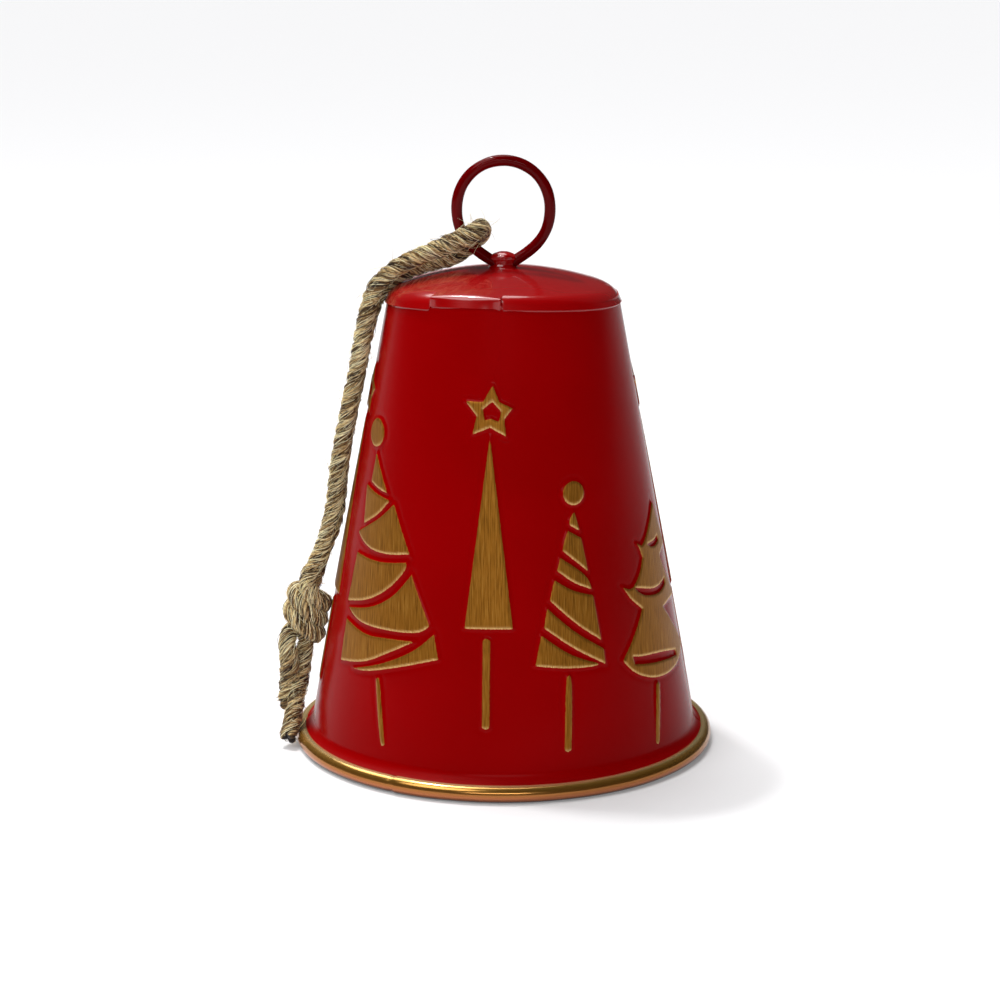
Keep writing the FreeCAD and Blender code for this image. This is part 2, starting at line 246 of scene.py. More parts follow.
TREES = (BALL_TREE, STAR_TREE, LEANING_TREE, TIERED_TREE, SEAM_TREE)
BALLS = ((BALL_TREE[0], -20.0, 120.7, 5.4, 5.0), (LEANING_TREE[0], 7.0, 104.4, 4.2, 4.2))
STAR_OUTLINE = (
    (0.6, 142.8), (-2.7, 136.9), (-9.0, 137.0), (-4.9, 131.9), (-6.3, 125.4), (-0.1, 128.0),
    (5.6, 125.0), (4.9, 131.0), (7.8, 134.8), (3.1, 136.9),
)
STAR_HOLE = ((0.5, 136.9), (-2.6, 134.2), (-1.9, 130.6), (0.3, 131.3), (2.9, 130.2), (3.5, 133.6))
STARS_AT = (STAR_TREE[0], SEAM_TREE[0])


def cone_r(z):
    return CONE_BASE_R - CONE_SLOPE * z


def on_circle(centre, radius, turn):
    return (centre[0] + radius * math.cos(turn), centre[1] + radius * math.sin(turn))


def shell_profile():
    """Radius, height and outward normal down the shell's outside, from the cap to the hem."""
    slant = math.hypot(1.0, CONE_SLOPE)
    normal = (1.0 / slant, CONE_SLOPE / slant)
    rows = []
    for i in range(PLAIN_ROWS + PATTERN_ROWS):
        if i < PLAIN_ROWS:
            z = SHELL_TOP + (PATTERN_TOP - SHELL_TOP) * i / PLAIN_ROWS
        else:
            z = PATTERN_TOP + (FLARE_TOP - PATTERN_TOP) * (i - PLAIN_ROWS) / PATTERN_ROWS
        rows.append((cone_r(z), z, *normal))
    top = (cone_r(FLARE_TOP), FLARE_TOP)
    end = on_circle(HEM_CENTRE, HEM_R, HEM_START)
    across = (end[0] - top[0], end[1] - top[1])
    radius = (across[0] ** 2 + across[1] ** 2) / (2 * (across[0] * normal[0] + across[1] * normal[1]))
    centre = (top[0] + radius * normal[0], top[1] + radius * normal[1])
    start = math.atan2(top[1] - centre[1], top[0] - centre[0]) % (2 * math.pi)
    stop = math.atan2(end[1] - centre[1], end[0] - centre[0]) % (2 * math.pi)
    for i in range(FLARE_ROWS + 1):
        turn = start + (stop - start) * i / FLARE_ROWS
        place = on_circle(centre, radius, turn)
        rows.append((*place, -math.cos(turn), -math.sin(turn)))
    return np.array(rows)


def eased(outline):
    """The outline with its gentle turns rounded and its sharp corners kept."""
    points = [Vector(point) for point in outline]
    for _ in range(EASING_ROUNDS):
        cut = []
        for i, here in enumerate(points):
            before, after = points[i - 1], points[(i + 1) % len(points)]
            if (here - before).angle(after - here) > SHARP_TURN:
                cut.append(here)
            else:
                cut += [here.lerp(before, 0.25), here.lerp(after, 0.25)]
        points = cut
    return [tuple(point) for point in points]


def outline_distance(outline, across, up):
    """Signed distance to a closed outline, negative inside."""
    nearest = np.full(across.shape, 1e9)
    inside = np.zeros(across.shape, bool)
    for a, b in zip(outline, outline[1:] + outline[:1]):
        edge = (b[0] - a[0], b[1] - a[1])
        from_a = (across - a[0], up - a[1])
        share = (from_a[0] * edge[0] + from_a[1] * edge[1]) / (edge[0] ** 2 + edge[1] ** 2)
        share = np.clip(share, 0.0, 1.0)
        gap = np.hypot(from_a[0] - edge[0] * share, from_a[1] - edge[1] * share)
        nearest = np.minimum(nearest, gap)
        if a[1] != b[1]:
            crosses = (up < a[1]) != (up < b[1])
            meets = a[0] + (up - a[1]) * edge[0] / edge[1]
            inside ^= crosses & (across < meets)
    return np.where(inside, -nearest, nearest)


def pattern_distance(turn, z):
    """Signed distance in millimetres to the trees' edges at a turn from the front and a height."""
    up = z / MM
    radius = cone_r(z) / MM
    nearest = np.full(turn.shape, FAR_OUTSIDE)
    for shift in (-180.0, 0.0, 180.0):
        for trunk, outlines in TREES:
            across = (turn - math.radians(trunk + shift)) * radius
            for outline in outlines:
                nearest = np.minimum(nearest, outline_distance(eased(outline), across, up))
        for trunk, x, y, half_width, half_height in BALLS:
            across = (turn - math.radians(trunk + shift)) * radius
            ball = (np.hypot((across - x) / half_width, (up - y) / half_height) - 1.0) * half_height
            nearest = np.minimum(nearest, ball)
        across = (turn - math.radians(TIERED_TREE[0] + shift)) * radius
        tiers = outline_distance(eased(TIERS), across, up)
        for slot in TIER_SLOTS:
            tiers = np.maximum(tiers, -outline_distance(eased(slot), across, up))
        nearest = np.minimum(nearest, tiers)
        for trunk in STARS_AT:
            across = (turn - math.radians(trunk + shift)) * radius
            star = outline_distance(STAR_OUTLINE, across, up)
            hole = outline_distance(STAR_HOLE, across, up)
            nearest = np.minimum(nearest, np.maximum(star, -hole))
    return nearest


def front_share(turn):
    """1 at the front of the cap, where it is folded highest, falling to 0 at the sides and behind."""
    return np.maximum(0.0, np.cos(turn + FRONT_TURN)) ** 1.6


def smooth_step(x):
    x = np.clip(x, 0.0, 1.0)
    return x * x * (3.0 - 2.0 * x)


def shell_height(turn, z, edge):
    """How far the sheet stands off the plain cone, in metres."""
    pressed = RELIEF * smooth_step(0.5 - edge / (2 * BEVEL))
    trough = -TROUGH * np.exp(-((edge - TROUGH_AT) / TROUGH_WIDTH) ** 2)
    rolled = 0.00012 * np.sin(3.0 * turn + 0.8 + 9.0 * z) + 0.00008 * np.sin(7.0 * turn - 25.0 * z)
    fade = smooth_step((z - 0.010) / 0.02)
    seam_gap = (math.pi / 2 - np.abs(turn - SEAM_TURN)) * cone_r(z)
    seam = -SEAM_DEPTH * np.exp(-(seam_gap / SEAM_WIDTH) ** 2)
    crease = -CREASE_DEPTH * np.exp(-np.abs(turn - CREASE_TURN) / CREASE_WIDTH)
    crease = crease * smooth_step((z - CREASE_FOOT) / CREASE_RISE)
    return (pressed + trough + rolled) * fade + seam + crease


def make_shell(name, spin, material):
    profile = shell_profile()
    rows = len(profile)
    turn = np.linspace(-math.pi / 2, math.pi / 2, COLUMNS + 1) + SEAM_TURN
    turns, r = np.meshgrid(turn, profile[:, 0])
    z = np.repeat(profile[:, 1:2], COLUMNS + 1, axis=1)
    out_r = np.repeat(profile[:, 2:3], COLUMNS + 1, axis=1)
    out_z = np.repeat(profile[:, 3:4], COLUMNS + 1, axis=1)
    rise = smooth_step((z - PATTERN_TOP) / (SHELL_TOP - PATTERN_TOP))
    lift = FRONT_LIFT * rise * front_share(turns + spin)
    z = z + lift
    r = r - CONE_SLOPE * lift
    edge = pattern_distance(turns, z)
    height = shell_height(turns, z, edge)

    def placed(offset):
        radius = r + out_r * offset
        around = turns + spin
        return np.stack([radius * np.sin(around), -radius * np.cos(around), z + out_z * offset], axis=2)

    outer = placed(height)
    inner = placed(height - SHEET)[::2, ::2]
    wide = COLUMNS + 1
    half = COLUMNS // 2 + 1
    first_inner = rows * wide
    inner_rows = rows // 2 + 1

    def out(i, j):
        return i * wide + j

    def inn(i, j):
        return first_inner + i * half + j

    faces = [(out(i, j), out(i + 1, j), out(i + 1, j + 1), out(i, j + 1))
             for i in range(rows - 1) for j in range(COLUMNS)]
    faces += [(inn(i, j), inn(i, j + 1), inn(i + 1, j + 1), inn(i + 1, j))
              for i in range(inner_rows - 1) for j in range(half - 1)]
    last = rows - 1
    for j in range(half - 1):
        a = 2 * j
        faces.append((out(0, a), out(0, a + 1), out(0, a + 2), inn(0, j + 1), inn(0, j)))
        faces.append((out(last, a + 2), out(last, a + 1), out(last, a),
                      inn(inner_rows - 1, j), inn(inner_rows - 1, j + 1)))
    for i in range(inner_rows - 1):
        a = 2 * i
        faces.append((out(a + 2, 0), out(a + 1, 0), out(a, 0), inn(i, 0), inn(i + 1, 0)))
        faces.append((out(a, COLUMNS), out(a + 1, COLUMNS), out(a + 2, COLUMNS),
                      inn(i + 1, half - 1), inn(i, half - 1)))
    verts = np.concatenate([outer.reshape(-1, 3), inner.reshape(-1, 3)])
    obj = mesh_piece(name, verts, faces, material, "bell", (name.replace("_sheet", ""),))
    inner_edge = np.full(inner_rows * half, FAR_INSIDE_SHEET)
    put_attribute(obj, "relief_edge", np.concatenate([edge.ravel(), inner_edge]))
    # Where the trees' lower bevels face down: the shell material paints a pale gold highlight there
    falls = np.gradient(edge, axis=0) / np.maximum(np.abs(np.gradient(z, axis=0)) / MM, 1e-6)
    lower_edge_highlight_mask = np.clip(falls, 0.0, 1.0) * smooth_step((edge + 1.1) / 0.9)
    put_attribute(obj, "lower_edge_highlight_mask", np.concatenate([lower_edge_highlight_mask.ravel(), np.zeros(inner_rows * half)]))
    arc = turns * cone_r(z) / MM
    flat = np.stack([arc, z / MM, np.zeros_like(arc)], axis=2)
    inside = flat[::2, ::2].copy()
    inside[:, :, 2] = 1.0
    flat_sheet = np.concatenate([flat.reshape(-1, 3), inside.reshape(-1, 3)])
    put_attribute(obj, "flat_sheet", flat_sheet, "FLOAT_VECTOR", "vector")


def put_attribute(obj, name, values, kind="FLOAT", field="value"):
    attribute = obj.data.attributes.new(name, kind, "POINT")
    attribute.data.foreach_set(field, np.asarray(values, np.float32).ravel())


SHARP_EDGE = math.radians(55.0)


def mesh_piece(name, verts, faces, material, body, replaced=()):
    mesh = bpy.data.meshes.new(name)
    mesh.from_pydata([tuple(v) for v in np.asarray(verts, float)], [], faces)
    mesh.materials.append(material)
    mesh.polygons.foreach_set("use_smooth", [True] * len(mesh.polygons))
    mesh.set_sharp_from_angle(angle=SHARP_EDGE)
    mesh.update()
    obj = bpy.data.objects.new(name, mesh)
    bpy.context.scene.collection.objects.link(obj)
    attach(obj, body)
    if replaced:
        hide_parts(*replaced)
    return obj


# ---- rolled hem ----
HEM_COLUMNS = 480
HEM_SIDES = 44
HEM_JOINT = math.radians(-31.0)
JOINT_FADE = 0.02        # the hem swells and sinks this far either side of its joint
JOINT_GAP_DEPTH = 0.00030
JOINT_GAP_WIDTH = 0.0007
LIP_DEPTH = 0.00035
LIP_TURN = -2.1          # where the curl's open edge lies in the hem's section, and how wide it is
LIP_WIDTH = 0.14


def make_hem(material):
    """The rolled edge, with the curl's open lip underneath and the joint where its two ends meet."""
    turn = np.linspace(0.0, 2 * math.pi, HEM_COLUMNS, endpoint=False)
    side = np.linspace(0.0, 2 * math.pi, HEM_SIDES, endpoint=False)
    turns, sides = np.meshgrid(turn, side, indexing="ij")
    past = (turns - HEM_JOINT) % (2 * math.pi)
    before = (2 * math.pi - past) * HEM_CENTRE[0]
    after = past * HEM_CENTRE[0]
    joint = 0.00010 * np.exp(-after / JOINT_FADE) - 0.00012 * np.exp(-before / JOINT_FADE)
    joint -= JOINT_GAP_DEPTH * np.exp(-(np.minimum(before, after) / JOINT_GAP_WIDTH) ** 2)
    lip = -LIP_DEPTH * np.exp(-((np.angle(np.exp(1j * (sides - LIP_TURN)))) / LIP_WIDTH) ** 2)
    dents = 0.000025 * np.sin(11 * turns + 1.0) + 0.000012 * np.sin(23 * turns + 2 * sides)
    radius = HEM_R + joint + lip + dents
    r = HEM_CENTRE[0] + radius * np.cos(sides)
    z = np.maximum(HEM_CENTRE[1] + radius * np.sin(sides), 0.0)
    verts = np.stack([r * np.sin(turns), -r * np.cos(turns), z], axis=2).reshape(-1, 3)
    faces = []
    for i in range(HEM_COLUMNS):
        for j in range(HEM_SIDES):
            here, there = i * HEM_SIDES, ((i + 1) % HEM_COLUMNS) * HEM_SIDES
            above = (j + 1) % HEM_SIDES
            faces.append((here + j, there + j, there + above, here + above))
    obj = mesh_piece("rim_hem_roll", verts, faces, material, "bell", ("rim_hem",))
    section = np.degrees(np.angle(np.exp(1j * sides)))
    put_attribute(obj, "section", section.ravel())


# ---- cap ----
CAP_COLUMNS = 480
CAP_APEX = 0.1765
CAP_EDGE_STEP = 0.0007   # the skirt stands this far off the cone
CAP_FOLD_Z = 0.1689      # at the sides and behind
DOME_R = 0.0410          # radius at which the dome alone would come down to the fold
CAP_FRONT_RISE = 0.0034
WIDEST_CHORD = 45.0      # a lobe narrower than this many degrees is folded along a straight line
# Each lobe: from and to in degrees from the front, fold radius, skirt height, roundness of the fold
LOBES = (
    (-92.0, -38.0, 0.0406, 0.0048, 0.0042),
    (-38.0, -1.0, 0.0425, 0.0037, 0.0011),
    (-1.0, 88.0, 0.0402, 0.0040, 0.0020),
)
FIRST_LOBE = LOBES[0][0]
LOBES_REPEAT = 180.0
NOTCH_WIDTH = 0.0004
NOTCH_SINK = 0.00040
NOTCH_RISE = 0.0003
NOTCH_FADE = 0.002       # the notch fades out over this much of the fold
DOME_STEPS = 21
FOLD_STEPS = 10
SKIRT_STEPS = 12
ROUND_REACH = 1.2        # the fold's curve reaches this many of its radii down the skirt,
SKIRT_SHARE = 0.6        # and no more than this share of the skirt
EDGE_BEVEL = 0.03        # the last step of the skirt, as a share of the one before it


def lobe_values(degrees):
    """Fold radius, skirt height, roundness and the gap to the nearest notch at a turn."""
    turn = (degrees - FIRST_LOBE) % LOBES_REPEAT + FIRST_LOBE
    for start, stop, fold_r, skirt, round_r in LOBES:
        if start <= turn < stop:
            if stop - start < WIDEST_CHORD:
                half = math.radians(stop - start) / 2
                fold_r *= math.cos(half) / math.cos(math.radians(turn - start) - half)
            return fold_r, skirt, round_r, min(turn - start, stop - turn)


def cap_section(degrees):
    """The cap's outside from the centre to the skirt's edge, as radius and height."""
    fold_r, skirt, round_r, gap = lobe_values(degrees)
    fold_z = CAP_FOLD_Z + CAP_FRONT_RISE * float(front_share(math.radians(degrees)))
    edge_z = fold_z - skirt
    edge_r = cone_r(edge_z) + CAP_EDGE_STEP
    notch = math.exp(-(math.radians(gap) * fold_r / NOTCH_WIDTH) ** 2)
    points = []
    for i in range(DOME_STEPS + 1):
        share = i / DOME_STEPS
        r = share * (fold_r - round_r)
        drop = (CAP_APEX - fold_z) * (r / DOME_R) ** 2
        points.append((r, CAP_APEX - drop))
    corner = (fold_r, fold_z)
    start = points[-1]
    down = (edge_r - corner[0], edge_z - corner[1])
    length = math.hypot(*down)
    reach = min(round_r * ROUND_REACH, SKIRT_SHARE * length)
    stop = (corner[0] + down[0] / length * reach, corner[1] + down[1] / length * reach)
    for i in range(1, FOLD_STEPS + 1):
        t = i / FOLD_STEPS
        points.append(tuple((1 - t) ** 2 * start[k] + 2 * t * (1 - t) * corner[k] + t * t * stop[k]
                            for k in range(2)))
    for i in range(1, SKIRT_STEPS + 1):
        t = i / SKIRT_STEPS
        points.append((stop[0] + (edge_r - stop[0]) * t, stop[1] + (edge_z - stop[1]) * t))
    points[-2] = tuple(EDGE_BEVEL * points[-3][k] + (1 - EDGE_BEVEL) * points[-1][k] for k in range(2))
    settled = []
    for r, z in points:
        on_skirt = min(1.0, max(0.0, (r - fold_r + NOTCH_FADE / 2) / NOTCH_FADE))
        settled.append((r - NOTCH_SINK * notch * on_skirt, z + NOTCH_RISE * notch * on_skirt))
    return settled


def make_cap(material):
    turns = [360.0 * i / CAP_COLUMNS for i in range(CAP_COLUMNS)]
    sections = [cap_section(t if t <= 180.0 else t - 360.0) for t in turns]
    count = len(sections[0])
    verts = []
    for degrees, section in zip(turns, sections):
        around = math.radians(degrees)
        ring = section[1:]
        back = [(max(r - SHEET, 0.0004), z - SHEET * 0.9) for r, z in reversed(ring)]
        back[0] = (ring[-1][0] - SHEET, ring[-1][1])
        for r, z in ring + back:
            verts.append((r * math.sin(around), -r * math.cos(around), z))
    size = 2 * (count - 1)
    top = len(verts)
    verts.append((0.0, 0.0, CAP_APEX))
    verts.append((0.0, 0.0, CAP_APEX - SHEET))
    faces = []
    for i in range(CAP_COLUMNS):
        a, b = i * size, ((i + 1) % CAP_COLUMNS) * size
        faces.append((top, a, b))
        faces.append((top + 1, b + size - 1, a + size - 1))
        for j in range(size - 1):
            faces.append((a + j, a + j + 1, b + j + 1, b + j))
    mesh_piece("cap_folded", verts, faces, material, "bell", ("cap",))


# ---- hanging ring and its boss ----
RING_WIRE_R = 0.0020
RING_CENTRE_Z = 0.1983
RING_FOOT_X = 0.0019
RING_FOOT_Z = 0.1774
# One half of the ring from its leg to its top: turn in degrees and distance from its centre
RING_HALF = (
    (-76.0, 0.0196), (-62.0, 0.0186), (-45.0, 0.0181), (-27.0, 0.0176), (-9.0, 0.0170), (9.0, 0.0168),
    (27.0, 0.0168), (45.0, 0.0168), (63.0, 0.0168), (81.0, 0.0168),
)
RING_SIDES = 20
RING_STEP = 0.0006
BOSS_COLUMNS = 56
BOSS_FULLNESS = 1.12
BEAD = 0.00050           # how far the two beads stand out, their height on the boss and their half height
BEAD_Z = 0.1798
BEAD_HALF = 0.0012
LUMPS = 0.00045
LUMP_SCALE = 1.7
LUMP_HEIGHT_SCALE = 400.0
CROWN_R = 0.002          # beads and lumps fade out within this radius
BOSS_PROFILE = (
    (0.0052, 0.1760), (0.0047, 0.1765), (0.0038, 0.1772), (0.0034, 0.1780), (0.0036, 0.1788),
    (0.0039, 0.1797), (0.0038, 0.1806), (0.0031, 0.1814), (0.0019, 0.1820), (0.0, 0.1822),
)


def ring_faces(rings, sides):
    """Faces that join each ring of vertices to the next."""
    faces = []
    for i in range(rings - 1):
        for j in range(sides):
            a, b = i * sides + j, i * sides + (j + 1) % sides
            faces.append((a, b, b + sides, a + sides))
    return faces


def closed_faces(rings, sides):
    """The same with both ends closed."""
    ends = [tuple(reversed(range(sides))), tuple(range((rings - 1) * sides, rings * sides))]
    return ring_faces(rings, sides) + ends


def tube(line, radii, sides):
    """Vertices and faces of a closed tube along a line, its radius given at each point."""
    line = np.asarray(line, float)
    tangents = np.gradient(line, axis=0)
    tangents /= np.linalg.norm(tangents, axis=1)[:, None]
    normal = np.cross(tangents[0], (0.0, 1.0, 0.0))
    if np.linalg.norm(normal) < 0.1:
        normal = np.cross(tangents[0], (1.0, 0.0, 0.0))
    verts = []
    for point, tangent, radius in zip(line, tangents, radii):
        normal = normal - tangent * np.dot(normal, tangent)
        normal /= np.linalg.norm(normal)
        other = np.cross(tangent, normal)
        for j in range(sides):
            turn = 2 * math.pi * j / sides
            verts.append(point + radius * (math.cos(turn) * normal + math.sin(turn) * other))
    return verts, closed_faces(len(line), sides)


def make_ring(material):
    half = [on_circle((0.0, RING_CENTRE_Z), reach, math.radians(turn)) for turn, reach in RING_HALF]
    half.insert(0, (RING_FOOT_X, RING_FOOT_Z))
    corners = half + [(-x, z) for x, z in reversed(half)]
    line, _ = along(spline_line([(x, 0.0, z) for x, z in corners], "ring_route"), RING_STEP)
    share = np.linspace(0.0, 1.0, len(line))
    radii = RING_WIRE_R * (1.0 + 0.018 * np.sin(29 * share) + 0.012 * np.sin(61 * share + 1.0))
    verts, faces = tube(line, radii, RING_SIDES)
    mesh_piece("hanging_ring_wire", verts, faces, material, "bell", ("hanging_ring",))


def make_boss(material):
    """A solder lump under paint: a waisted neck with a bead where each foot of the ring goes in."""
    count = BOSS_COLUMNS
    fine = []
    for (r0, z0), (r1, z1) in zip(BOSS_PROFILE, BOSS_PROFILE[1:]):
        fine += [(r0 + (r1 - r0) * t, z0 + (z1 - z0) * t) for t in (0.0, 0.25, 0.5, 0.75)]
    fine.append(BOSS_PROFILE[-1])
    verts = []
    for r, z in fine[:-1]:
        for i in range(count):
            turn = 2 * math.pi * i / count
            beads = BEAD * math.exp(-((z - BEAD_Z) / BEAD_HALF) ** 2) * math.cos(2 * turn)
            place = Vector((math.cos(turn), math.sin(turn), z * LUMP_HEIGHT_SCALE))
            lumps = LUMPS * noise.noise(place * LUMP_SCALE) * min(1.0, r / CROWN_R)
            reach = (r + beads * min(1.0, r / CROWN_R) + lumps) * BOSS_FULLNESS
            verts.append((reach * math.cos(turn), reach * math.sin(turn), z))
    top = len(verts)
    verts.append((0.0, 0.0, fine[-1][1]))
    faces = ring_faces(len(fine) - 1, count)
    for j in range(count):
        faces.append((top - count + j, top - count + (j + 1) % count, top))
    faces.append(tuple(reversed(range(count))))
    mesh_piece("ring_boss_bead", verts, faces, material, "bell", ("ring_boss",))


# ---- the rope's strands and fibres ----
STRANDS = 3
STRAND_LAY = 0.0150      # one turn of the three strands
STRAND_R = 0.00156
STRAND_OUT = 0.00148     # from the rope's centreline to a strand's centre
STRAND_SIDES = 18
STEP = 0.00050
YARNS = 5
YARN_LAY = 0.011
YARN_VALLEY = 0.82       # a strand's radius between its yarns, and how much more on their ridges
YARN_RIDGE = 0.18
YARN_ROUGH = 0.05
STRAND_END = 0.72        # a strand's last ring is this much of its full size
SPLAY_LENGTH = 0.012     # the strands stand apart over this much of a cut end
FIBRE_SIDES = 3
FIBRE_POINTS = 8
LAID_SPAN = (0.0025, 0.0075)
LAID_THICK = (0.00007, 0.00019)
LAID_SPREAD = 1.15       # a laid fibre starts within this turn of the strand's outside
LAID_DRIFT = 0.9
LAID_PROUD = 0.00004
LAID_LIFT = 0.0009
STRAY_SPAN = (0.002, 0.009)
STRAY_THICK = (0.00004, 0.00008)
STRAY_FOOT = 0.0023      # stray fibres start this far from the centreline
STRAY_REACH = 0.0018
STRAY_CURL = 0.0003
SHELL_CLEARANCE = 0.0004


class Centreline:
    """A cord's even line with a frame at each point that doesn't twist."""

    def __init__(self, line, swell, splay):
        self.points, self.at = along(line, STEP)
        self.length = self.at[-1]
        tangents = np.gradient(self.points, axis=0)
        self.tangents = tangents / np.linalg.norm(tangents, axis=1)[:, None]
        normals = []
        normal = np.array((0.0, 0.0, 1.0))
        for tangent in self.tangents:
            normal = normal - tangent * np.dot(normal, tangent)
            normal = normal / np.linalg.norm(normal)
            normals.append(normal)
        self.normals = np.array(normals)
        self.others = np.cross(self.tangents, self.normals)
        self.swell = np.interp(self.at, swell[0], swell[1])
        near_end = (self.at - self.length + SPLAY_LENGTH) / SPLAY_LENGTH
        self.splay = 1.0 + splay * np.clip(near_end, 0.0, 1.0) ** 2

    def place(self, s, turn, out):
        """Points at distances s along the line, at a turn round it and this far from it."""
        def read(field):
            return np.stack([np.interp(s, self.at, field[:, k]) for k in range(3)], axis=-1)
        radial = read(self.normals) * np.cos(turn)[..., None] + read(self.others) * np.sin(turn)[..., None]
        return read(self.points) + radial * np.asarray(out)[..., None]

    def swelling(self, s):
        return np.interp(s, self.at, self.swell)


class Tangle:
    """Collects tubes into one mesh, with a tone and a depth for each vertex; the depth sets where the jute
    material paints shade.
    """

    def __init__(self):
        self.verts, self.faces, self.tones, self.depths = [], [], [], []

    def add(self, verts, faces, tones, depths):
        first = len(self.verts)
        self.verts.extend(verts)
        self.faces.extend(tuple(first + i for i in face) for face in faces)
        self.tones.extend(tones)
        self.depths.extend(depths)


def add_strand(tangle, centre, start_turn, random):
    """One strand with the ridges of its yarns, which turn the other way."""
    s = centre.at
    turn = start_turn + 2 * math.pi * s / STRAND_LAY
    swell = centre.swelling(s)
    wander = 0.00012 * np.sin(s * 420.0 + start_turn * 3) + 0.00010 * np.sin(s * 977.0 + start_turn)
    middle = centre.place(s, turn, (STRAND_OUT + wander) * swell * centre.splay)
    tangents = np.gradient(middle, axis=0)
    tangents /= np.linalg.norm(tangents, axis=1)[:, None]
    outward = middle - centre.points
    outward -= tangents * np.sum(outward * tangents, axis=1)[:, None]
    outward /= np.linalg.norm(outward, axis=1)[:, None]
    sideways = np.cross(tangents, outward)
    side = np.linspace(0.0, 2 * math.pi, STRAND_SIDES, endpoint=False)
    sides, along_s = np.meshgrid(side, s)
    yarn = np.abs(np.cos(YARNS / 2 * (sides - along_s * 2 * math.pi / YARN_LAY + start_turn)))
    rough = random.normal(0.0, YARN_ROUGH, yarn.shape)
    radius = STRAND_R * (YARN_VALLEY + YARN_RIDGE * yarn + rough) * swell[:, None]
    radius[-1] *= STRAND_END
    verts = (middle[:, None, :] + outward[:, None, :] * (radius * np.cos(sides))[..., None]
             + sideways[:, None, :] * (radius * np.sin(sides))[..., None])
    # How far out a point lies on the rope, low on a strand's inner side and between its yarns; the jute
    # material paints shade where it is low
    depth = np.clip(0.5 + 0.5 * np.cos(sides), 0, 1) * (0.35 + 0.45 * yarn)
    tone = 0.35 + 0.2 * np.sin(along_s * 300.0 + start_turn * 2 + 2 * sides)
    tangle.add(verts.reshape(-1, 3), closed_faces(len(s), STRAND_SIDES), tone.ravel(), depth.ravel())


def inside_bell(points):
    """Whether any of the points is in the shell or touches it."""
    return any(math.hypot(x, y) < cone_r(z) + SHELL_CLEARANCE and z < CAP_FOLD_Z for x, y, z in points)


def add_fibre(tangle, points, thick, tone):
    taper = np.sin(np.linspace(0.35, math.pi - 0.25, len(points))) ** 0.5
    verts, faces = tube(points, thick * taper, FIBRE_SIDES)
    tangle.add(verts, faces, [tone] * len(verts), [1.0] * len(verts))


def add_laid_fibres(tangle, centre, count, random):
    """Fibres that lie on the strands and lift off them a little at one end."""
    for _ in range(count):
        span = random.uniform(*LAID_SPAN)
        start = random.uniform(0.0, centre.length - span)
        share = np.linspace(0.0, 1.0, FIBRE_POINTS)
        s = start + span * share
        strand = random.integers(STRANDS)
        across = random.uniform(-LAID_SPREAD, LAID_SPREAD)
        drift = random.uniform(-LAID_DRIFT, LAID_DRIFT)
        turn = 2 * math.pi * (s / STRAND_LAY + strand / STRANDS) + across + drift * share
        swell = centre.swelling(s)
        lift = random.uniform(0.0, 1.0) ** 5 * LAID_LIFT
        splay = np.interp(s, centre.at, centre.splay)
        out = (STRAND_OUT * splay + STRAND_R * math.cos(across) + LAID_PROUD) * swell + lift * share ** 3
        thick = random.uniform(*LAID_THICK)
        add_fibre(tangle, centre.place(s, turn, out), thick, random.uniform(-0.1, 1.1))


def add_stray_fibres(tangle, centre, count, reach, random):
    """Loose ends that stand off the rope."""
    for _ in range(count):
        span = random.uniform(*STRAY_SPAN)
        start = centre.length * random.uniform(0.0, 1.0) - span / 2
        share = np.linspace(0.0, 1.0, FIBRE_POINTS)
        s = np.clip(start + span * share * random.choice((-1.0, 1.0)), 0.0, centre.length)
        turn = random.uniform(0.0, 2 * math.pi) + random.uniform(-0.9, 0.9) * share
        out = STRAY_FOOT * centre.swelling(s) + random.uniform(0.3, 1.0) * reach * share ** 1.4
        curl = STRAY_CURL * np.sin(share * random.uniform(3.0, 8.0) + random.uniform(0.0, 6.0))
        thick = random.uniform(*STRAY_THICK)
        tone = random.uniform(0.3, 1.0)
        points = centre.place(s, turn, out + curl * share)
        if not inside_bell(points):
            add_fibre(tangle, points, thick, tone)


def make_cord(name, line, swell, splay, laid, stray, replaced, material, seed):
    random = np.random.default_rng(seed)
    centre = Centreline(line, swell, splay)
    tangle = Tangle()
    for k in range(STRANDS):
        add_strand(tangle, centre, 2 * math.pi * k / STRANDS, random)
    add_laid_fibres(tangle, centre, laid, random)
    add_stray_fibres(tangle, centre, stray, STRAY_REACH, random)
    cord = mesh_piece(name, tangle.verts, tangle.faces, material, "bell", replaced)
    put_attribute(cord, "tone", tangle.tones)
    put_attribute(cord, "depth", tangle.depths)
    return cord, centre


def make_hairs(name, centre, count, reach, material, seed):
    random = np.random.default_rng(seed)
    tangle = Tangle()
    add_stray_fibres(tangle, centre, count, reach, random)
    hairs = mesh_piece(name, tangle.verts, tangle.faces, material, "bell")
    put_attribute(hairs, "tone", tangle.tones)
    put_attribute(hairs, "depth", tangle.depths)
    return hairs


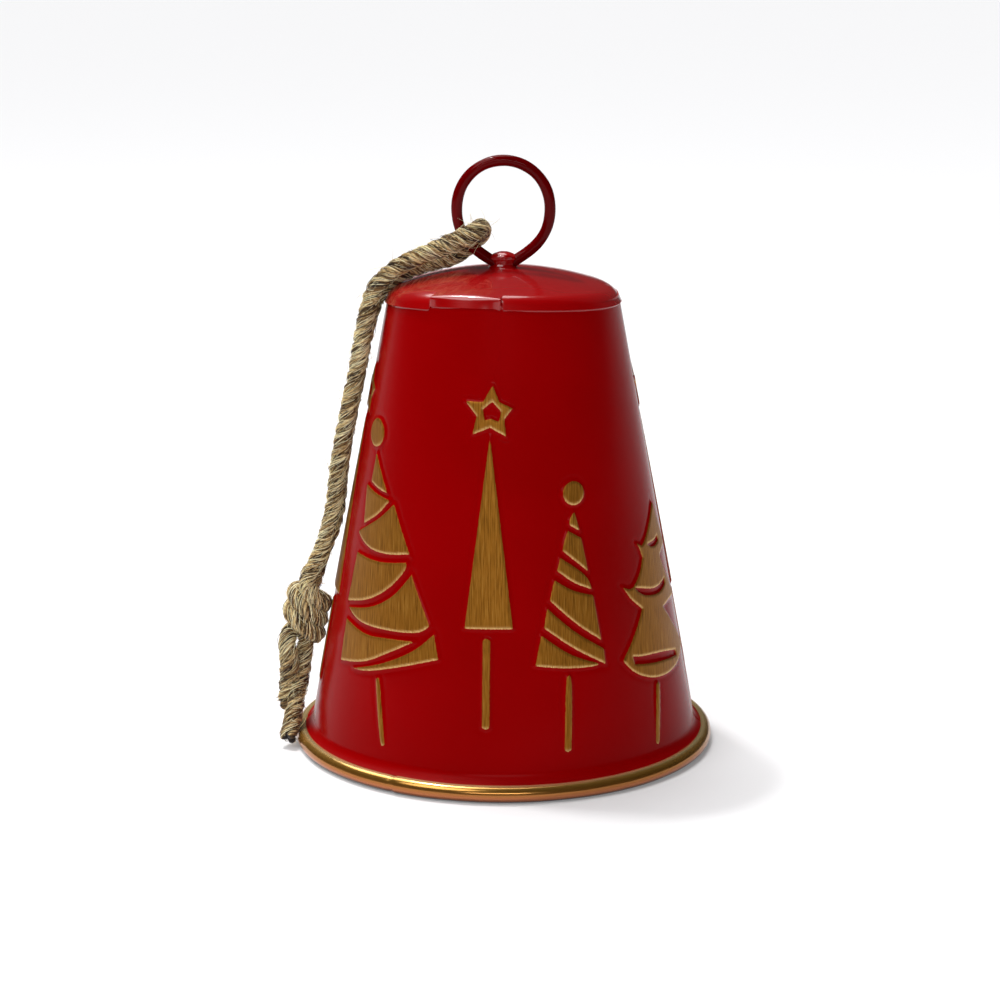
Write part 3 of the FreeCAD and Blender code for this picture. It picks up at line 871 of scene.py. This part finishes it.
# ---- materials ----
class Nodes:
    """Short calls for building one material."""

    def __init__(self, name):
        self.material = bpy.data.materials.new(name)
        self.material.use_nodes = True
        self.tree = self.material.node_tree
        self.shader = self.tree.nodes["Principled BSDF"]

    def add(self, kind, **settings):
        node = self.tree.nodes.new(kind)
        for key, value in settings.items():
            setattr(node, key, value)
        return node

    def join(self, source, target):
        self.tree.links.new(source, target)

    def attribute(self, name, output="Fac"):
        return self.add("ShaderNodeAttribute", attribute_name=name).outputs[output]

    def place(self):
        return self.add("ShaderNodeTexCoord").outputs["Object"]

    def stretched(self, vector, scale):
        mapping = self.add("ShaderNodeMapping")
        mapping.inputs["Scale"].default_value = scale
        self.join(vector, mapping.inputs["Vector"])
        return mapping.outputs["Vector"]

    def noise(self, vector, scale, detail=3.0, roughness=0.5):
        node = self.add("ShaderNodeTexNoise")
        node.inputs["Scale"].default_value = scale
        node.inputs["Detail"].default_value = detail
        node.inputs["Roughness"].default_value = roughness
        self.join(vector, node.inputs["Vector"])
        return node.outputs["Fac"]

    def ranged(self, value, low, high, to_low=0.0, to_high=1.0, smooth=False):
        node = self.add("ShaderNodeMapRange")
        if smooth:
            node.interpolation_type = "SMOOTHSTEP"
        for key, number in (("From Min", low), ("From Max", high), ("To Min", to_low), ("To Max", to_high)):
            node.inputs[key].default_value = number
        self.join(value, node.inputs["Value"])
        return node.outputs["Result"]

    def maths(self, operation, a, b):
        node = self.add("ShaderNodeMath", operation=operation)
        for socket, value in zip(node.inputs, (a, b)):
            if isinstance(value, (int, float)):
                socket.default_value = value
            else:
                self.join(value, socket)
        return node.outputs[0]

    def colours(self, value, stops):
        ramp = self.add("ShaderNodeValToRGB")
        elements = ramp.color_ramp.elements
        while len(elements) < len(stops):
            elements.new(0.5)
        for element, (position, colour) in zip(elements, stops):
            element.position = position
            element.color = (*linear(colour), 1.0)
        self.join(value, ramp.inputs["Fac"])
        return ramp.outputs["Color"]

    def mixed(self, share, a, b):
        node = self.add("ShaderNodeMix", data_type="RGBA")
        self.join(share, node.inputs["Factor"])
        self.join(a, node.inputs["A"])
        self.join(b, node.inputs["B"])
        return node.outputs["Result"]

    def bump(self, height, distance, strength=1.0, under=None):
        node = self.add("ShaderNodeBump")
        node.inputs["Distance"].default_value = distance
        node.inputs["Strength"].default_value = strength
        self.join(height, node.inputs["Height"])
        if under is not None:
            self.join(under, node.inputs["Normal"])
        return node.outputs["Normal"]

    def shade(self, **sockets):
        """Each socket is given as Base_Color=..., a number, a colour or an output to link."""
        for key, value in sockets.items():
            socket = self.shader.inputs[key.replace("_", " ")]
            if isinstance(value, bpy.types.NodeSocket):
                self.join(value, socket)
            elif isinstance(value, tuple):
                socket.default_value = (*linear(value), 1.0)
            else:
                socket.default_value = value
        return self.material


def linear(colour):
    return tuple(c / 12.92 if c <= 0.04045 else ((c + 0.055) / 1.055) ** 2.4 for c in colour)


RED = (0.570, 0.0, 0.009)
RED_DEEP = (0.545, 0.0, 0.005)
GOLD = (0.58, 0.375, 0.118)
# The pale gold of the painted highlight on the trees' lower edges
GOLD_LIP_HIGHLIGHT = (1.0, 0.86, 0.60)
GOLD_DARK = (0.40, 0.245, 0.055)
# The hem's colours from its underside up and over its top: gold with painted reflections in it, a copper
# band low down, a darker olive band across the middle and a pale painted highlight near the top
HEM_GOLD_AND_PAINTED_REFLECTIONS = (
    (0.05, (0.36, 0.18, 0.10)), (0.24, (0.70, 0.42, 0.26)), (0.36, (0.66, 0.42, 0.20)),
    (0.50, (0.58, 0.40, 0.15)), (0.66, (0.70, 0.52, 0.24)), (0.80, (0.95, 0.84, 0.60)),
    (1.0, (0.80, 0.58, 0.32)),
)
CAP_RED = (0.60, 0.004, 0.015)
CAP_RED_DEEP = (0.58, 0.002, 0.010)
RING_RED = (0.40, 0.001, 0.010)
RING_RED_DEEP = (0.33, 0.0, 0.006)
STEEL_TONES = ((0.46, 0.45, 0.44), (0.62, 0.61, 0.60))
CAST_TONES = ((0.30, 0.29, 0.28), (0.50, 0.48, 0.46))


def red_body(nodes, vector):
    cloudy = nodes.noise(vector, 22.0, 3.0)
    return nodes.colours(cloudy, ((0.35, RED_DEEP), (0.65, RED)))


def enamel_bump(nodes, vector):
    """Slight orange peel."""
    return nodes.bump(nodes.noise(vector, 700.0, 1.0), 0.00001, 0.15)


def shell_material():
    """Red enamel, with brushed gold paint over the embossed trees and a painted highlight of pale gold along
    their lower edges.
    """
    nodes = Nodes("shell_enamel")
    place = nodes.place()
    sheet = nodes.attribute("flat_sheet", "Vector")
    edge = nodes.attribute("relief_edge")
    ragged = nodes.noise(nodes.stretched(sheet, (1.0, 0.55, 1.0)), 1.1, 3.0, 0.6)
    worn_edge = nodes.maths("ADD", edge, nodes.ranged(ragged, 0.0, 1.0, -0.22, 0.26))
    gold = nodes.ranged(worn_edge, -0.20, 0.02, 1.0, 0.0, True)
    streaks = nodes.noise(nodes.stretched(sheet, (2.4, 0.10, 1.0)), 1.0, 4.0, 0.62)
    fine = nodes.noise(nodes.stretched(sheet, (7.0, 0.30, 1.0)), 1.0, 2.0, 0.5)
    paint = nodes.colours(streaks, ((0.30, GOLD_DARK), (0.52, GOLD), (0.80, (0.70, 0.51, 0.22))))
    # Painted highlight: the trees' lower edges turn pale gold, most where they face down
    lip = nodes.maths("MULTIPLY", nodes.attribute("lower_edge_highlight_mask"), 0.9)
    height = nodes.add("ShaderNodeSeparateXYZ")
    nodes.join(place, height.inputs[0])
    low_dull = nodes.ranged(height.outputs["Z"], 0.0050, 0.0100, 0.35, 0.0, True)
    dull = nodes.maths("ADD", gold, nodes.maths("MULTIPLY", fine, 0.25))
    paint = nodes.mixed(lip, paint, nodes.colours(fine, ((0.3, GOLD), (0.7, GOLD_LIP_HIGHLIGHT))))
    return nodes.shade(
        Base_Color=nodes.mixed(gold, red_body(nodes, place), paint),
        Metallic=nodes.ranged(gold, 0.0, 1.0, 0.0, 0.65),
        Roughness=nodes.maths("ADD", low_dull, nodes.ranged(dull, 0.0, 1.25, 0.17, 0.50)),
        Specular_IOR_Level=0.03,
        Normal=nodes.bump(nodes.maths("MULTIPLY", nodes.maths("ADD", streaks, fine), gold), 0.00006, 0.5,
                          enamel_bump(nodes, place)),
    )


def red_material(name, light, dark, roughness, specular, coat, coat_roughness):
    nodes = Nodes(name)
    place = nodes.place()
    cloudy = nodes.noise(place, 30.0, 2.0)
    scuffs = nodes.noise(place, 160.0, 3.0, 0.6)
    return nodes.shade(
        Base_Color=nodes.colours(cloudy, ((0.35, dark), (0.65, light))),
        Roughness=nodes.ranged(scuffs, 0.35, 0.75, roughness, roughness + 0.02),
        Specular_IOR_Level=specular,
        Coat_Weight=coat,
        Coat_Roughness=coat_roughness,
        Normal=enamel_bump(nodes, place),
    )


def hem_material():
    """Gold enamel brushed round the hem, its colour banded by painted reflections and a painted highlight,
    and dark underneath.
    """
    nodes = Nodes("hem_gold")
    place = nodes.place()
    section = nodes.attribute("section")
    patchy = nodes.noise(place, 260.0, 4.0, 0.6)
    band = nodes.ranged(nodes.maths("ADD", section, nodes.ranged(patchy, 0.0, 1.0, -4.0, 4.0)), -60.0, 120.0)
    # Colour by place round the hem's section: painted reflection bands and a painted highlight
    gold = nodes.colours(band, HEM_GOLD_AND_PAINTED_REFLECTIONS)
    # Darker towards the underside
    dark_underneath = nodes.colours(patchy, ((0.3, (0.10, 0.03, 0.02)), (0.7, (0.24, 0.09, 0.05))))
    wander = nodes.maths("ADD", section, nodes.ranged(patchy, 0.0, 1.0, -8.0, 8.0))
    painted = nodes.ranged(wander, -56.0, -40.0, 0.0, 1.0, True)
    return nodes.shade(
        Base_Color=nodes.mixed(painted, dark_underneath, gold),
        Metallic=nodes.ranged(painted, 0.0, 1.0, 0.1, 0.70),
        Roughness=nodes.ranged(patchy, 0.3, 0.8, 0.15, 0.24),
        Normal=nodes.bump(patchy, 0.00001, 0.15),
    )


def jute_material():
    nodes = Nodes("jute")
    place = nodes.place()
    tone = nodes.attribute("tone")
    depth = nodes.attribute("depth")
    flecks = nodes.noise(place, 1800.0, 3.0, 0.6)
    value = nodes.maths("ADD", nodes.maths("MULTIPLY", tone, 0.62), nodes.maths("MULTIPLY", flecks, 0.38))
    straw = nodes.colours(value, ((0.20, (0.13, 0.065, 0.022)), (0.38, (0.55, 0.41, 0.22)),
                                  (0.51, (0.93, 0.81, 0.56)), (0.68, (1.0, 0.97, 0.80))))
    # Painted shade: dark colours for the strands' inner sides and the valleys between yarns, chosen by the
    # depth attribute
    shaded = nodes.colours(value, ((0.3, (0.045, 0.02, 0.008)), (0.7, (0.20, 0.11, 0.045))))
    out = nodes.ranged(depth, 0.25, 0.95, 0.0, 1.0, True)
    return nodes.shade(
        Base_Color=nodes.mixed(out, shaded, straw),
        Roughness=0.85,
        Sheen_Weight=0.15,
        Normal=nodes.bump(flecks, 0.0001, 0.6),
    )


def metal_material(name, colours, roughness, grain):
    nodes = Nodes(name)
    place = nodes.place()
    spots = nodes.noise(place, grain, 5.0, 0.65)
    return nodes.shade(
        Base_Color=nodes.colours(spots, ((0.35, colours[0]), (0.65, colours[1]))),
        Metallic=0.9,
        Roughness=nodes.ranged(spots, 0.3, 0.7, roughness, roughness + 0.25),
        Normal=nodes.bump(spots, 0.0001, 0.4),
    )


def give(node_names, material):
    for name in node_names:
        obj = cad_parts[name]
        obj.data.materials.clear()
        obj.data.materials.append(material)


# ---- stage ----
FLOOR_REACH = 60.0       # so far that its edge never shows in a low view
FLOOR_DROP = 0.0002      # keeps the floor from lying in the hem's own plane


def make_floor():
    mesh = bpy.data.meshes.new("floor")
    corners = [(x * FLOOR_REACH, y * FLOOR_REACH, 0) for x, y in ((-1, -1), (1, -1), (1, 1), (-1, 1))]
    mesh.from_pydata(corners, [], [(0, 1, 2, 3)])
    floor = bpy.data.objects.new("floor", mesh)
    bpy.context.scene.collection.objects.link(floor)
    floor.location.z = -FLOOR_DROP
    nodes = Nodes("floor_white")
    nodes.shade(Base_Color=(0.86, 0.86, 0.865), Roughness=0.9, Specular_IOR_Level=0.0,
                Emission_Color=(1.0, 1.0, 1.0), Emission_Strength=0.17)
    mesh.materials.append(nodes.material)


def add_light(name, kind, power, towards):
    data = bpy.data.lights.new(name, kind)
    data.energy = power
    light = bpy.data.objects.new(name, data)
    bpy.context.scene.collection.objects.link(light)
    light.rotation_euler = towards.to_track_quat("-Z", "Y").to_euler()
    return light


def area_light(name, place, aim, size, power):
    light = add_light(name, "AREA", power, Vector(aim) - Vector(place))
    light.location = place
    light.data.shape = "RECTANGLE"
    light.data.size, light.data.size_y = size


def sun_light(name, towards, angle, strength):
    light = add_light(name, "SUN", strength, Vector(towards))
    light.data.angle = math.radians(angle)


def make_world():
    """White studio behind and above the bell, dark room in front of it."""
    world = bpy.data.worlds.new("studio")
    bpy.context.scene.world = world
    world.use_nodes = True
    tree = world.node_tree
    background = tree.nodes["Background"]
    where = tree.nodes.new("ShaderNodeTexCoord")
    towards = tree.nodes.new("ShaderNodeVectorMath")
    towards.operation = "DOT_PRODUCT"
    towards.inputs[1].default_value = (0.0, 0.8, 0.6)
    fall = tree.nodes.new("ShaderNodeMapRange")
    fall.interpolation_type = "SMOOTHSTEP"
    for key, number in (("From Min", 0.42), ("From Max", 0.65), ("To Min", 0.02), ("To Max", 1.0)):
        fall.inputs[key].default_value = number
    tree.links.new(where.outputs["Generated"], towards.inputs[0])
    tree.links.new(towards.outputs["Value"], fall.inputs["Value"])
    tree.links.new(fall.outputs["Result"], background.inputs["Strength"])


# ---- build ----
bpy.context.scene.view_settings.view_transform = "Standard"
make_camera()
jute = jute_material()
front_line = spline_line((ROPE_TURN_ROUND_RING, *FRONT_LEG, *wrap_points(), *OUTER_TAIL), "front_route")
rear_line = spline_line((ROPE_TURN_ROUND_RING, *REAR_LEG, *core_points(), *INNER_TAIL), "rear_route")
front_cord, front_centre = make_cord(
    "rope_front", front_line, FRONT_SWELL, 0.4, 3600, 380,
    ("rope_loop", "rope_knot", "rope_tail_outer"), jute, 11)
rear_cord, rear_centre = make_cord(
    "rope_rear", rear_line, REAR_SWELL, 0.35, 2400, 260, ("rope_loop", "rope_tail_inner"), jute, 12)
front_hairs = make_hairs("rope_hairs_front", front_centre, 240, 0.0055, jute, 13)
rear_hairs = make_hairs("rope_hairs_rear", rear_centre, 120, 0.0050, jute, 14)

shell_paint = shell_material()
make_shell("front_shell_sheet", 0.0, shell_paint)
make_shell("rear_shell_sheet", math.pi, shell_paint)
make_hem(hem_material())
cap_paint = red_material("cap_enamel", CAP_RED, CAP_RED_DEEP, 0.24, 0.27, 0.55, 0.05)
make_cap(cap_paint)
make_boss(cap_paint)
make_ring(red_material("ring_enamel", RING_RED, RING_RED_DEEP, 0.16, 0.02, 0.10, 0.06))
steel = metal_material("wire_steel", STEEL_TONES, 0.30, 500.0)
give(("eye_pin", "cap_washer", "clapper_link", "clapper_rod", "rim_wire"), steel)
give(("clapper_ball",), metal_material("cast_ball", CAST_TONES, 0.42, 240.0))

make_world()
make_floor()
sun_light("key", (0.24, -0.45, -1.0), 46.0, 2.5)
sun_light("fill", (0.52, 0.46, -1.0), 30.0, 1.30)
area_light("front_low_strip", (-0.05, -1.62, 0.80), (0, 0, 0.03), (1.0, 0.12), 6.0)
area_light("fold_box", (-0.40, 0.32, 1.40), (0, 0, 0.17), (0.12, 0.08), 9.0)
